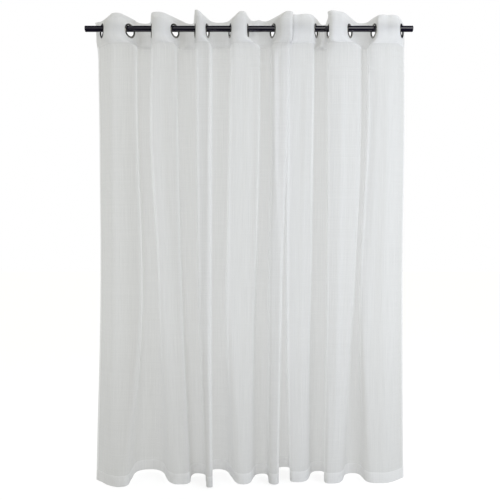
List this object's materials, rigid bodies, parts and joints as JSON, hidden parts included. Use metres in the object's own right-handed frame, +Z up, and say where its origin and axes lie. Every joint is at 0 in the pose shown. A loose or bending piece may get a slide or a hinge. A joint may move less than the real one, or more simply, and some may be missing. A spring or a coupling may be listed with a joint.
{
  "type": "sheer voile eyelet curtain with curtain rod",
  "caption": "Floor-length sheer white voile curtain with metal eyelet rings, hanging in uneven soft folds from a plain round black curtain rod",
  "frame": {"origin": "the middle of the curtain rod's axis", "axes": "+Z up, +X along the rod to the right as seen from the room, -Y towards the room"},
  "size_m": [1.555, 0.2061, 2.18],
  "materials": {
    "voile": "sheer plain-weave white voile, matt",
    "eyelet_metal": "polished nickel plate",
    "rod_finish": "satin black paint"
  },
  "bodies": {
    "root": {"heading": "voile", "panel": "voile", "eyelet_01": "eyelet_metal", "eyelet_02": "eyelet_metal", "eyelet_03": "eyelet_metal", "eyelet_04": "eyelet_metal", "eyelet_05": "eyelet_metal", "eyelet_06": "eyelet_metal", "eyelet_07": "eyelet_metal", "eyelet_08": "eyelet_metal", "eyelet_09": "eyelet_metal", "eyelet_10": "eyelet_metal", "eyelet_11": "eyelet_metal", "eyelet_12": "eyelet_metal", "eyelet_13": "eyelet_metal", "eyelet_14": "eyelet_metal", "eyelet_15": "eyelet_metal", "eyelet_16": "eyelet_metal", "rod": "rod_finish"}
  },
  "joints": []
}
